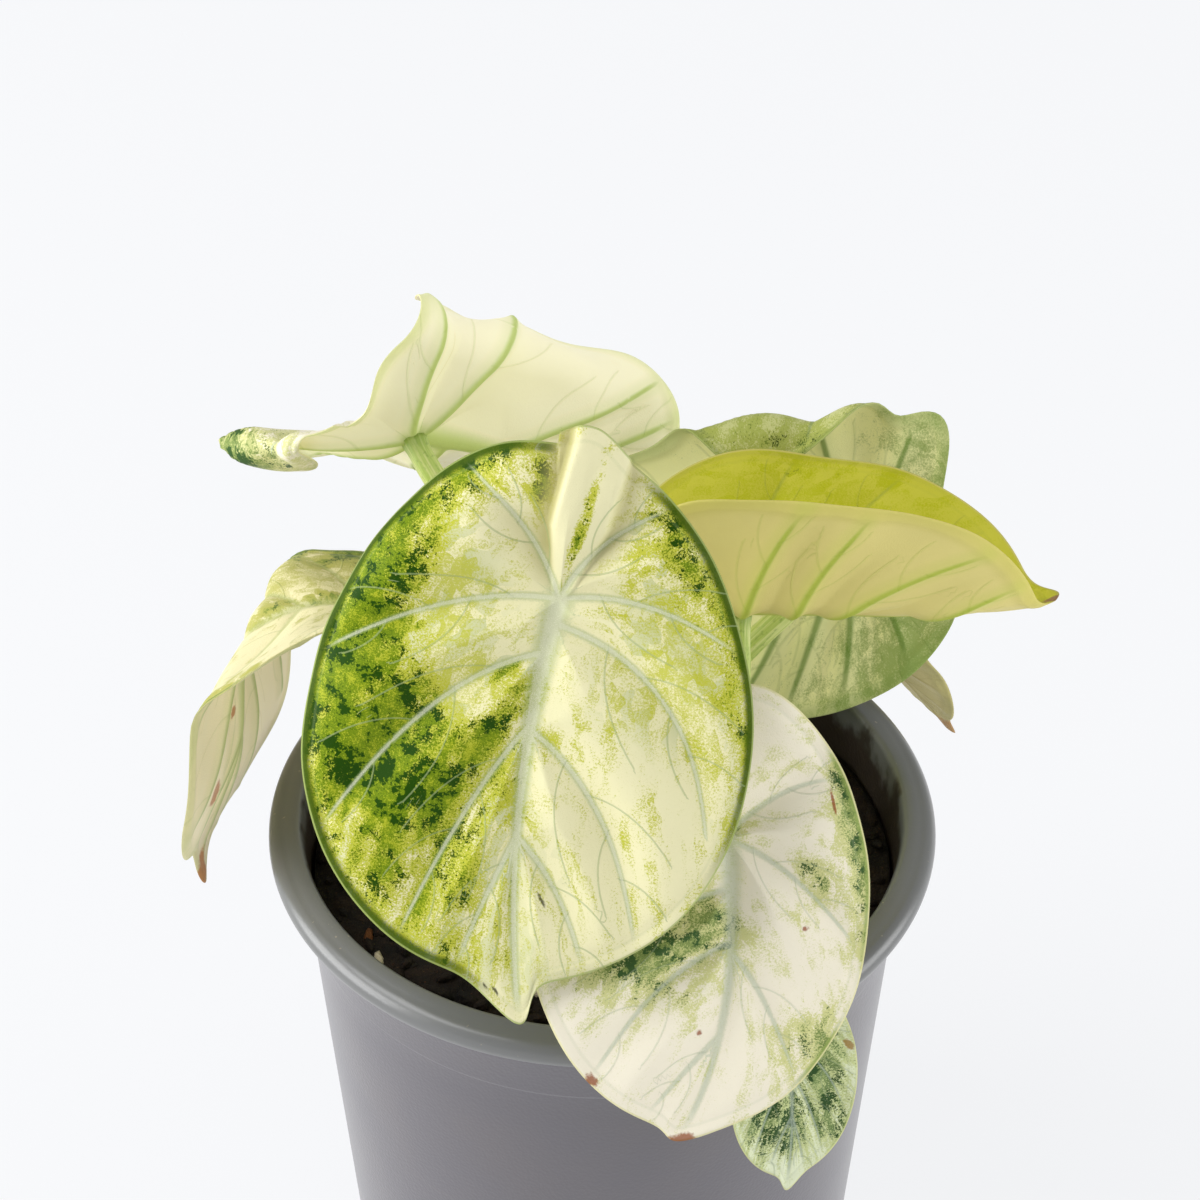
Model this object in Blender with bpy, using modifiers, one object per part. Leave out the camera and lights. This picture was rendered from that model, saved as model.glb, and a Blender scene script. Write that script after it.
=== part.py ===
"""A potted variegated alocasia: shield leaves on bent stalks in a round plastic nursery pot.

Run with blender --background --python part.py, or from Blender's text editor.
The origin is the centre of the pot's base, +Z is up and the front of the plant faces -Y.
Driving dimensions are in millimetres; every mesh is made in metres.
"""

import math

import bmesh
import bpy
from mathutils import Matrix, Vector

MM = 0.001

# Pot, a 12 cm nursery pot with a rolled rim
POT_RIM_RADIUS = 60.0
POT_HEIGHT = 106.0
POT_MOUTH_RADIUS = 54.5
POT_NECK_RADIUS = 54.9
POT_BAND_BOTTOM = 88.0
POT_BAND_STEP = 0.4
POT_TAPER = 0.078
POT_WALL = 1.1
POT_FLOOR = 2.2
POT_FOOT = 1.6
POT_FOOT_WIDTH = 4.0
POT_STEPS = 48
PAD_RADIUS = 8.0
DRAIN_RADIUS = 4.0
DRAIN_RING_RADIUS = 29.0
DRAIN_COUNT = 8

# Soil
SOIL_TOP = 93.5
SOIL_MOUND = 2.5
SOIL_LUMP = 3.0
SOIL_LUMP_SIZE = 9.0
SOIL_STEPS = 48
GAP = 0.3

# Crown, the short stout stem that every stalk grows from
CROWN_RADIUS = 5.6
CROWN_RISE = 7.0
CROWN_DEPTH = 16.0

# Stalks
STALK_RING = 11.0
STALK_DEPTH = 9.0
STALK_POINTS = 12

# Blades
BLADE_THICKNESS = 0.8
SPOKES = 36
RINGS = 8
TIP_SPREAD = math.radians(9)
NOTCH_SPREAD = math.radians(15)
LOBE_ANGLE = math.radians(40)
LOBE_SPREAD = math.radians(25)

GREY_PLASTIC = ((0.23, 0.24, 0.27), 0.42)
DARK_SOIL = ((0.020, 0.014, 0.010), 0.95)
CROWN_BROWN = ((0.20, 0.16, 0.07), 0.8)
STALK_GREEN = ((0.42, 0.56, 0.16), 0.45)
BLADE_CREAM = ((0.66, 0.70, 0.42), 0.4)

# Each leaf: joint is where the stalk meets the blade, toward the way the midrib leaves it, and
# face the way its upper side looks. back is the share of the length behind the joint; egg, shift,
# tip, lobes and notch shape the flat margin. A bend is (u, v, heading, angle, length, spread): the
# flat blade curls past a line through (u, v), in the heading's direction (0 to the tip, 90 to the
# right seen from above, 180 to the back), through that angle, up if positive, over that length; a
# spread other than 0 lets it fade to both sides. pleat is the height and half width of the fold
# behind the joint. slot, lean and reach give the stalk its place round the crown, its lean out of
# the soil and the way it comes to the joint (square to the blade, from above); stalk is its radii.
# edge lists the places where the margin stands out further: angle from the tip, spread, how far.
LEAVES = {
    "front": {
        "length": 98, "width": 74, "back": 0.27, "egg": -0.1, "shift": -3,
        "tip": (4, 7), "lobes": (0, 0), "notch": 1,
        "joint": (-7, -27, 177), "toward": (-0.11, -0.51, -0.86), "face": (-0.05, -0.85, 0.5),
        "bends": [(16, -6, 130, -35, 14, 0), (-16, -6, -130, -35, 14, 0), (-28, 20, -90, -20, 12, 0),
                  (24, 20, 90, -12, 12, 0)],
        "edge": [(172, 9, 3.5)],
        "pleat": (3.6, 5), "slot": -105, "lean": 16, "reach": (24, 0), "stalk": (2.8, 2.2),
    },
    "low": {
        "length": 80, "width": 59, "back": 0.35, "egg": 0.0, "shift": -5,
        "tip": (-3, 2), "lobes": (0, 0), "notch": 4,
        "joint": (21, -39, 136), "toward": (0, -0.59, -0.8), "face": (0.18, -0.82, 0.6),
        "bends": [(0, 30, 0, -10, 20, 0)],
        "pleat": (0, 5), "slot": -70, "lean": 20, "reach": (20, 0), "stalk": (2.6, 2.0),
    },
    "small": {
        "length": 45, "width": 23, "back": 0.2, "egg": 0.0, "shift": 1,
        "tip": (-1, 3), "lobes": (0, 0), "notch": 1,
        "joint": (31, -55, 107), "toward": (0.03, -0.14, -0.99), "face": (0.3, -1, 0.1),
        "bends": [(0, -1, 180, -75, 5, 0), (3, 0, 90, 12, 6, 0), (-3, 0, -90, 12, 6, 0)],
        "pleat": (0, 5), "slot": -38, "lean": 30, "reach": (8, 8), "stalk": (1.7, 1.2),
    },
    "back": {
        "length": 100, "width": 76, "back": 0.27, "egg": 0.06, "shift": 0,
        "tip": (0, 8), "lobes": (-9, 14), "notch": 9, "edge": [(-165, 14, -3), (-135, 12, 2)],
        "joint": (-33, 25, 171), "toward": (0.66, 0.53, -0.53), "face": (-0.375, 0.846, 0.38),
        "bends": [(20, -18, 168, -170, 4, 0), (-16, 5, -86, 110, 14, 0), (0, 0, -90, 30, 10, 0),
                  (0, 0, 90, 38, 10, 0)],
        "pleat": (0, 5), "slot": 105, "lean": 12, "reach": (16, 0), "stalk": (2.8, 2.1),
    },
    "boat": {
        "length": 81, "width": 62, "back": 0.31, "egg": -0.08, "shift": 0,
        "tip": (2, 4), "lobes": (0, 0), "notch": 2, "edge": [(-125, 22, 7), (120, 25, 5)],
        "joint": (24, 6, 148), "toward": (1, 0, -0.02), "face": (0, 0.3, 0.95),
        "bends": [(0, 30, 0, 14, 30, 0), (1, 0, 90, 48, 9, 0), (-1, 0, -90, 67, 7, 0)],
        "pleat": (0, 5), "slot": -5, "lean": 30, "reach": (14, 0), "stalk": (2.6, 2.0),
    },
    "wide": {
        "length": 92, "width": 63, "back": 0.24, "egg": 0.12, "shift": 1,
        "tip": (0, 8), "lobes": (0, 0), "notch": 3,
        "edge": [(124, 9, 4), (136, 4, -1), (147, 9, 6), (172, 16, -3), (58, 20, -8), (98, 16, 4)],
        "joint": (45, 36, 136), "toward": (-0.98, 0.1, -0.15), "face": (0.1, 0.95, -0.4),
        "bends": [(23, 13, 90, -165, 7, 20), (0, 0, -90, -6, 20, 0)],
        "pleat": (0, 5), "slot": 64, "lean": 30, "reach": (14, 0), "stalk": (2.6, 2.0),
    },
    "left": {
        "length": 96, "width": 54, "back": 0.26, "egg": 0.0, "shift": -2,
        "tip": (1, 7), "lobes": (0, 0), "notch": 2, "edge": [(-62, 24, 5)],
        "joint": (-45, 15, 142), "toward": (-1, 0, 0.05), "face": (0, 0.33, 0.95),
        "bends": [(0, 60, 0, -45, 12, 0), (0, 36, 0, 20, 14, 0), (0, 17, -20, -60, 7, 0),
                  (0, 1, 16, -35, 13, 0), (3, 0, 90, 20, 12, 0)],
        "pleat": (0, 5), "slot": 180, "lean": 30, "reach": (16, 0), "stalk": (2.4, 1.8),
    },
    "dry": {
        "length": 42, "width": 20, "back": 0.26, "egg": 0.06, "shift": 0,
        "tip": (0, 5), "lobes": (0, 0), "notch": 1,
        "joint": (52, 47, 106), "toward": (0.5, 0.1, -0.8), "face": (0.6, 0.6, 0.5),
        "bends": [(2, 0, 90, 40, 6, 0), (-2, 0, -90, 30, 6, 0)],
        "pleat": (0, 5), "slot": 30, "lean": 56, "reach": (10, 14), "stalk": (1.5, 1.1),
    },
}


def clear_scene():
    for obj in list(bpy.data.objects):
        bpy.data.objects.remove(obj, do_unlink=True)


def new_collection(name, rendered=True):
    collection = bpy.data.collections.new(name)
    collection.hide_render = not rendered
    bpy.context.scene.collection.children.link(collection)
    return collection


def material(name, colour_and_roughness):
    colour, roughness = colour_and_roughness
    made = bpy.data.materials.new(name)
    made.use_nodes = True
    shader = made.node_tree.nodes["Principled BSDF"]
    shader.inputs["Base Color"].default_value = (*colour, 1)
    shader.inputs["Roughness"].default_value = roughness
    made.diffuse_color = (*colour, 1)
    return made


def add_object(name, data, collection, finish=None):
    obj = bpy.data.objects.new(name, data)
    collection.objects.link(obj)
    if finish:
        data.materials.append(finish)
    return obj


def turned(name, outline, steps, collection, finish):
    """A solid turned about Z from an outline of (radius, height) that starts and ends on the axis."""
    mesh = bpy.data.meshes.new(name)
    points = [(r * MM, 0, z * MM) for r, z in outline]
    mesh.from_pydata(points, [(i, i + 1) for i in range(len(points) - 1)], [])
    obj = add_object(name, mesh, collection, finish)
    screw = obj.modifiers.new("turn", "SCREW")
    screw.steps = screw.render_steps = steps
    screw.use_merge_vertices = True
    screw.merge_threshold = 0.00001
    return obj


def cut(obj, cutter, name):
    boolean = obj.modifiers.new(name, "BOOLEAN")
    boolean.operation = "DIFFERENCE"
    boolean.solver = "EXACT"
    boolean.object = cutter
    return boolean


def arc(centre, radius, start, end, count):
    """Points of a round corner, in degrees from +R towards +Z."""
    angles = [math.radians(start + (end - start) * i / (count - 1)) for i in range(count)]
    return [(centre[0] + radius * math.cos(a), centre[1] + radius * math.sin(a)) for a in angles]


def wall_radius(height):
    """The pot's outer radius below the band."""
    return POT_NECK_RADIUS - POT_BAND_STEP - POT_TAPER * (POT_HEIGHT - 6 - height)


def make_pot(collection, cutters, finish):
    lip = 2.6
    lip_middle = (POT_RIM_RADIUS - lip, POT_HEIGHT - 0.5 - lip)
    neck = POT_HEIGHT - 6
    band = POT_NECK_RADIUS - POT_TAPER * (neck - POT_BAND_BOTTOM)
    foot = wall_radius(0)
    inner_floor = POT_FOOT + POT_FLOOR
    outline = [
        (0, 0),
        (PAD_RADIUS, 0),
        (PAD_RADIUS + 1, POT_FOOT),
        (foot - POT_FOOT_WIDTH - 1, POT_FOOT),
        (foot - POT_FOOT_WIDTH, 0),
        (foot - 1.4, 0),
        (foot - 0.4, 0.8),
        (wall_radius(3), 3),
        (band - POT_BAND_STEP, POT_BAND_BOTTOM - 0.5),
        (band, POT_BAND_BOTTOM),
        (POT_NECK_RADIUS, neck - 0.6),
        (POT_NECK_RADIUS + 0.8, neck + 0.4),
        *arc(lip_middle, lip, -60, 90, 7),
        (POT_MOUTH_RADIUS, POT_HEIGHT),
        (POT_MOUTH_RADIUS - 0.7, POT_HEIGHT - 0.8),
        (wall_radius(POT_BAND_BOTTOM) - POT_WALL, POT_BAND_BOTTOM),
        (wall_radius(inner_floor + 1.5) - POT_WALL, inner_floor + 1.5),
        (wall_radius(inner_floor) - POT_WALL - 1.5, inner_floor),
        (0, inner_floor),
    ]
    pot = turned("pot", outline, POT_STEPS, collection, finish)
    for i in range(DRAIN_COUNT):
        angle = 2 * math.pi * (i + 0.5) / DRAIN_COUNT
        place = Vector((math.cos(angle), math.sin(angle), 0)) * DRAIN_RING_RADIUS * MM
        bpy.ops.mesh.primitive_cylinder_add(
            vertices=12, radius=DRAIN_RADIUS * MM, depth=6 * inner_floor * MM, location=place)
        drill = bpy.context.object
        drill.name = f"drain_drill_{i + 1}"
        move_to(drill, cutters)
        cut(pot, as_cutter(drill), drill.name)
    pot.data.shade_smooth()
    return pot


def move_to(obj, collection):
    for home in list(obj.users_collection):
        home.objects.unlink(obj)
    collection.objects.link(obj)


def soil_height(radius):
    """The soil's mean surface, mounded towards the crown."""
    reach = wall_radius(SOIL_TOP)
    return SOIL_TOP + SOIL_MOUND * (1 - (radius / reach) ** 2)


def make_soil(collection, finish):
    inner_floor = POT_FOOT + POT_FLOOR + GAP
    clear = POT_WALL + GAP
    edge = wall_radius(SOIL_TOP - 3) - clear
    top_rings = 6
    outline = [(edge * i / top_rings, soil_height(edge * i / top_rings)) for i in range(top_rings + 1)]
    outline += [
        (wall_radius(SOIL_TOP - 6) - clear, SOIL_TOP - 6),
        (wall_radius(inner_floor + 2) - clear, inner_floor + 2),
        (wall_radius(inner_floor) - clear - 2, inner_floor),
        (0, inner_floor),
    ]
    soil = turned("soil", outline, SOIL_STEPS, collection, finish)
    top = soil.vertex_groups.new(name="top")
    top.add(list(range(top_rings)), 1.0, "REPLACE")
    top.add([top_rings], 0.3, "REPLACE")
    lumps = bpy.data.textures.new("soil_lumps", "CLOUDS")
    lumps.noise_scale = SOIL_LUMP_SIZE * MM
    rough = soil.modifiers.new("lumps", "DISPLACE")
    rough.texture = lumps
    rough.texture_coords = "LOCAL"
    rough.direction = "Z"
    rough.strength = SOIL_LUMP * MM
    rough.vertex_group = "top"
    return soil


def make_crown(name, extra, collection, finish=None):
    """The crown, or its hole in the soil when it is made wider by extra."""
    rise = soil_height(0) + CROWN_RISE
    foot = soil_height(0) - CROWN_DEPTH - extra
    radius = CROWN_RADIUS + extra
    outline = [
        (0, rise), (radius * 0.45, rise - 0.6), (radius * 0.8, rise - 2.4),
        (radius, rise - 5), (radius, foot + 4), (radius * 0.7, foot), (0, foot),
    ]
    return turned(name, outline, 16, collection, finish)


def outline_point(leaf, theta):
    """The flat blade's margin at an angle round its middle, from the tip: (u across, v to the tip)."""
    length = leaf["length"]
    back = leaf["back"] * length
    hook, point = leaf["tip"]
    front = length - back - point
    middle = (front - back) / 2
    half_length = (front + back) / 2
    from_back = math.pi - abs(theta)
    tip_share = math.exp(-((theta / TIP_SPREAD) ** 2))
    u = leaf["width"] / 2 * math.sin(theta) * (1 - leaf["egg"] * math.cos(theta))
    u += leaf["shift"] + hook * tip_share
    v = middle + half_length * math.cos(theta) + point * tip_share
    v += leaf["notch"] * math.exp(-((from_back / NOTCH_SPREAD) ** 2))
    v -= leaf["lobes"][theta > 0] * math.exp(-(((from_back - LOBE_ANGLE) / LOBE_SPREAD) ** 2))
    for angle, spread, out in leaf.get("edge", []):
        away = (theta - math.radians(angle)) / math.radians(spread)
        share = 1 + out * math.exp(-(away ** 2)) / math.hypot(u, v)
        u, v = u * share, v * share
    return u, v


def bend(point, u0, v0, heading, angle, length, spread):
    """The point after the blade curls past a line, towards its upper side if the angle is positive."""
    heading, angle = math.radians(heading), math.radians(angle)
    ahead = (math.sin(heading), math.cos(heading))
    x, y, z = point
    past = (x - u0) * ahead[0] + (y - v0) * ahead[1]
    if spread:
        beside = (x - u0) * ahead[1] - (y - v0) * ahead[0]
        angle *= math.exp(-((beside / spread) ** 2))
    if past <= 0 or abs(angle) < 1e-4:
        return point
    radius = length / angle
    turn = min(past, length) / radius
    rest = max(past - length, 0)
    along = (radius - z) * math.sin(turn) + rest * math.cos(turn)
    lift = radius - (radius - z) * math.cos(turn) + rest * math.sin(turn)
    return (x + (along - past) * ahead[0], y + (along - past) * ahead[1], lift)


def frame_of(leaf):
    """The blade's axes in the world: u to the right, v to the tip and the upper side's normal."""
    tip = Vector(leaf["toward"]).normalized()
    face = Vector(leaf["face"])
    face = (face - tip * face.dot(tip)).normalized()
    return Matrix((face.cross(tip), tip, face)).transposed()


def blade_point(leaf, u, v):
    """Where the flat point (u, v) lies on the bent blade, in millimetres in the world."""
    height, spread = leaf["pleat"]
    behind = max(0.0, min(1.0, -v / (leaf["back"] * leaf["length"])))
    point = (u, v, height * math.sin(behind * math.pi / 2) * math.exp(-((u / spread) ** 2)))
    for step in leaf["bends"]:
        point = bend(point, *step)
    return frame_of(leaf) @ Vector(point) + Vector(leaf["joint"])


def make_blade(name, leaf, collection, finish):
    """One blade: a disc of spokes and rings, stretched to the outline, bent and given its thickness."""
    sheet = bmesh.new()
    radius = [sheet.verts.new((0, i / RINGS, 0)) for i in range(RINGS + 1)]
    edges = [sheet.edges.new(pair) for pair in zip(radius, radius[1:])]
    bmesh.ops.spin(sheet, geom=radius + edges, axis=(0, 0, 1), cent=(0, 0, 0),
                   steps=SPOKES, angle=2 * math.pi, use_merge=True, use_normal_flip=True)
    bmesh.ops.remove_doubles(sheet, verts=sheet.verts, dist=1e-5)
    for vert in sheet.verts:
        share = math.hypot(vert.co.x, vert.co.y)
        turn = math.atan2(vert.co.x, vert.co.y)
        theta = turn - 0.3 * math.sin(2 * turn)
        u, v = outline_point(leaf, theta)
        vert.co = blade_point(leaf, u * share, v * share) * MM
    bmesh.ops.triangulate(sheet, faces=sheet.faces, quad_method="SHORT_EDGE")
    mesh = bpy.data.meshes.new(name)
    sheet.to_mesh(mesh)
    sheet.free()
    blade = add_object(name, mesh, collection, finish)
    thick = blade.modifiers.new("thickness", "SOLIDIFY")
    thick.thickness = BLADE_THICKNESS * MM
    thick.offset = -1
    mesh.shade_smooth()
    return blade


def stalk_route(leaf):
    """Points of a stalk from its hole in the soil up and over to the underside of its blade."""
    slot = math.radians(leaf["slot"])
    outward = Vector((math.cos(slot), math.sin(slot), 0))
    lean = math.radians(leaf["lean"])
    foot = outward * STALK_RING + Vector((0, 0, soil_height(STALK_RING) - STALK_DEPTH))
    face = frame_of(leaf).col[2]
    reach, arch = leaf["reach"]
    arrival = face * reach - Vector((0, 0, arch))
    slant = face.cross(arrival.normalized()).length
    top = Vector(leaf["joint"]) - face * (BLADE_THICKNESS + GAP + leaf["stalk"][1] * (slant + 0.2))
    rise = (top - foot).length
    start = foot + (outward * math.sin(lean) + Vector((0, 0, math.cos(lean)))) * rise * 0.5
    end = top - arrival
    points = []
    for i in range(STALK_POINTS):
        t = i / (STALK_POINTS - 1)
        rising = foot * (1 - t) ** 3 + start * 3 * t * (1 - t) ** 2
        points.append(rising + end * 3 * t * t * (1 - t) + top * t ** 3)
    return points


def stalk_curve(name, leaf, extra, collection, finish=None):
    """A tapered tube along a stalk's route, made wider by extra for the hole that it stands in."""
    route = stalk_route(leaf)
    route[0] -= (route[1] - route[0]).normalized() * extra
    foot_radius, top_radius = leaf["stalk"]
    curve = bpy.data.curves.new(name, "CURVE")
    curve.dimensions = "3D"
    curve.bevel_depth = MM
    curve.bevel_resolution = 2
    curve.use_fill_caps = True
    line = curve.splines.new("POLY")
    line.points.add(len(route) - 1)
    for i, point in enumerate(route):
        share = i / (len(route) - 1)
        line.points[i].co = (*(point * MM), 1)
        line.points[i].radius = foot_radius + (top_radius - foot_radius) * share + extra
    return add_object(name, curve, collection, finish)


def hole_for_stalk(name, leaf, collection):
    """A cutter of a stalk's own shape with the gap all round, as a closed mesh."""
    curve_object = stalk_curve(name, leaf, GAP, collection)
    bpy.context.view_layer.update()
    graph = bpy.context.evaluated_depsgraph_get()
    mesh = bpy.data.meshes.new_from_object(curve_object.evaluated_get(graph))
    bpy.data.objects.remove(curve_object)
    welded = bmesh.new()
    welded.from_mesh(mesh)
    bmesh.ops.remove_doubles(welded, verts=welded.verts, dist=1e-6)
    bmesh.ops.recalc_face_normals(welded, faces=welded.faces)
    welded.to_mesh(mesh)
    welded.free()
    return as_cutter(add_object(name, mesh, collection))


def as_cutter(obj):
    obj.hide_render = True
    obj.display_type = "WIRE"
    return obj


def main():
    clear_scene()
    plant = new_collection("potted_alocasia")
    cutters = new_collection("cutters", rendered=False)
    make_pot(plant, cutters, material("pot_plastic", GREY_PLASTIC))
    soil = make_soil(plant, material("soil", DARK_SOIL))
    make_crown("crown", 0, plant, material("crown", CROWN_BROWN))
    cut(soil, as_cutter(make_crown("crown_hole", GAP, cutters)), "crown_hole")
    stalk_finish = material("stalk", STALK_GREEN)
    blade_finish = material("blade", BLADE_CREAM)
    for name, leaf in LEAVES.items():
        make_blade(f"blade_{name}", leaf, plant, blade_finish)
        stalk_curve(f"stalk_{name}", leaf, 0, plant, stalk_finish)
        cut(soil, hole_for_stalk(f"stalk_hole_{name}", leaf, cutters), f"hole_{name}")


main()
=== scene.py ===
# A potted variegated alocasia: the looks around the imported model.
# Lengths are in millimetres until a mesh is made, angles in degrees where a value is set.

import math

import bpy
import numpy as np
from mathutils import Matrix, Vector, noise


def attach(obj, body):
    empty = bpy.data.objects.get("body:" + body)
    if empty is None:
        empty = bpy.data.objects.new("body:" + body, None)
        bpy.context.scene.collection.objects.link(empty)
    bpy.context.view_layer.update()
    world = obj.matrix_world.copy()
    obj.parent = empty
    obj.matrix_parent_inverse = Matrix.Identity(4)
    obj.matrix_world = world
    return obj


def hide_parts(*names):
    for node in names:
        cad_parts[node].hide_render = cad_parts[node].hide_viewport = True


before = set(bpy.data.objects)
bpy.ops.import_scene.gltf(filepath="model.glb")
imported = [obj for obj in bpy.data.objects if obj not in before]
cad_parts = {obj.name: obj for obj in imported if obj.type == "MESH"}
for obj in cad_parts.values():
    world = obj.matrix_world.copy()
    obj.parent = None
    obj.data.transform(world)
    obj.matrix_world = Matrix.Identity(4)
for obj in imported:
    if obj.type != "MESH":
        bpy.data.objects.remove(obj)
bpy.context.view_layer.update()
scene = bpy.context.scene
mm = 0.001   # in metres
print("frame loaded:", len(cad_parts), "nodes")


def paint(red, green, blue):
    # a screen colour of 0 to 255 as the linear colour that a socket takes
    parts = [c / 255 for c in (red, green, blue)]
    return (*[c / 12.92 if c <= 0.04045 else ((c + 0.055) / 1.055) ** 2.4 for c in parts], 1)


def addObject(name, data):
    made = bpy.data.objects.new(name, data)
    scene.collection.objects.link(made)
    return made


# materials

def maths(operation, reflected=False):
    # a method that adds one Math node
    def method(wire, *others):
        values = (*others, wire) if reflected else (wire, *others)
        return wire.finish.node("ShaderNodeMath", {"operation": operation}, dict(enumerate(values)))
    return method


class Wire:
    # a number on its way through a material: sums and products add Math nodes
    def __init__(self, finish, socket):
        self.finish = finish
        self.socket = socket

    __add__ = __radd__ = maths("ADD")
    __mul__ = __rmul__ = maths("MULTIPLY")
    __sub__, __rsub__ = maths("SUBTRACT"), maths("SUBTRACT", reflected=True)
    __truediv__, __rtruediv__ = maths("DIVIDE"), maths("DIVIDE", reflected=True)
    atLeast, size, root = maths("MAXIMUM"), maths("ABSOLUTE"), maths("SQRT")

    def step(self, low, high):
        # 0 at low, 1 at high, smooth between
        sockets = {"Value": self, "From Min": low, "From Max": high}
        return self.finish.node("ShaderNodeMapRange", {"interpolation_type": "SMOOTHSTEP"}, sockets)


class Finish:
    # a material and the few ways in which this script adds nodes to it, with colours by name
    def __init__(self, name, look):
        self.material = bpy.data.materials.new(name)
        self.material.use_nodes = True
        self.tree = self.material.node_tree
        self.shader = self.tree.nodes["Principled BSDF"]
        self.hue = {key: paint(*value) for key, value in look.items() if isinstance(value, tuple)}

    def node(self, kind, settings=None, sockets=None, output=0):
        made = self.tree.nodes.new(kind)
        for name, value in (settings or {}).items():
            setattr(made, name, value)
        for key, value in (sockets or {}).items():
            self.feed(made.inputs[key], value)
        return Wire(self, made.outputs[output])

    def feed(self, socket, value):
        if isinstance(value, Wire):
            self.tree.links.new(value.socket, socket)
        else:
            socket.default_value = self.hue[value] if isinstance(value, str) else value

    def set(self, values):
        for name, value in values.items():
            self.feed(self.shader.inputs[name], value)
        return self.material

    def read(self, name, output=1):
        # a value that the mesh carries: output 1 is a vector, 2 a number
        return self.node("ShaderNodeAttribute", {"attribute_name": name}, output=output)

    def parts(self, vector):
        split = self.node("ShaderNodeSeparateXYZ", None, {0: vector})
        return [Wire(self, end) for end in split.socket.node.outputs]

    def place(self, vector, scale):
        return self.node("ShaderNodeVectorMath", {"operation": "MULTIPLY"}, {0: vector, 1: scale})

    def shift(self, vector, by):
        return self.node("ShaderNodeVectorMath", {"operation": "ADD"}, {0: vector, 1: by})

    def noise(self, vector, scale, detail, roughness, output=0):
        sockets = {"Vector": vector, "Scale": scale, "Detail": detail, "Roughness": roughness}
        return self.node("ShaderNodeTexNoise", None, sockets, output)

    def cells(self, vector, scale, output=0):
        return self.node("ShaderNodeTexVoronoi", None, {"Vector": vector, "Scale": scale}, output)

    def mix(self, factor, first, second):
        return self.node("ShaderNodeMix", {"data_type": "RGBA"}, {0: factor, 6: first, 7: second}, output=2)

    def cover(self, colour, *coats):
        # coats of other colours over the first one, each behind its mask
        for mask, coat in coats:
            colour = self.mix(mask, colour, coat)
        return colour

    def bump(self, height, distance, strength):
        sockets = {"Height": height, "Distance": distance, "Strength": strength}
        return self.node("ShaderNodeBump", None, sockets)


# meshes

def meshPiece(name, points, faces, finish, nodes=(), carried=None):
    # points in millimetres; carried holds the values that the material reads at each point
    mesh = bpy.data.meshes.new(name)
    mesh.from_pydata((np.asarray(points) * mm).tolist(), [], faces)
    for key, values in (carried or {}).items():
        values = np.asarray(values, dtype=np.float32)
        kind, field = ("FLOAT_VECTOR", "vector") if values.ndim == 2 else ("FLOAT", "value")
        mesh.attributes.new(key, kind, "POINT").data.foreach_set(field, values.ravel())
    mesh.materials.append(finish)
    mesh.shade_smooth()
    mesh.update()
    piece = addObject(name, mesh)
    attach(piece, "root")
    if nodes:
        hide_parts(*nodes)
    return piece


def ringFaces(rings, steps, start=0):
    # quads between rings of points that follow one another
    faces = []
    for ring in range(rings - 1):
        for i in range(steps):
            a = start + ring * steps + i
            b = start + ring * steps + (i + 1) % steps
            faces.append((a, b, b + steps, a + steps))
    return faces


def tubeFaces(rings, sides, start=0):
    # the same with both ends closed
    first = tuple(range(start, start + sides))
    last = tuple(k + (rings - 1) * sides for k in first)
    return [*ringFaces(rings, sides, start), first[::-1], last]


def levelRing(radius, height, sides):
    # points round the pot's axis
    angles = [2 * math.pi * j / sides for j in range(sides)]
    return [(radius * math.cos(a), radius * math.sin(a), height) for a in angles]


def hill(away, spread=1.0):
    # 1 in the middle, and softly down to 0 beyond the spread
    return np.exp(-((away / spread) ** 2))


# leaves, the same flat outlines, bends and places as the model's: u runs across the flat blade and v from
# its joint to its tip; tip is how far that stands sideways and out, edge changes the margin at an angle,
# bends curl the blade, joint, toward and face place it, and slot, lean and reach lead its stalk

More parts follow.
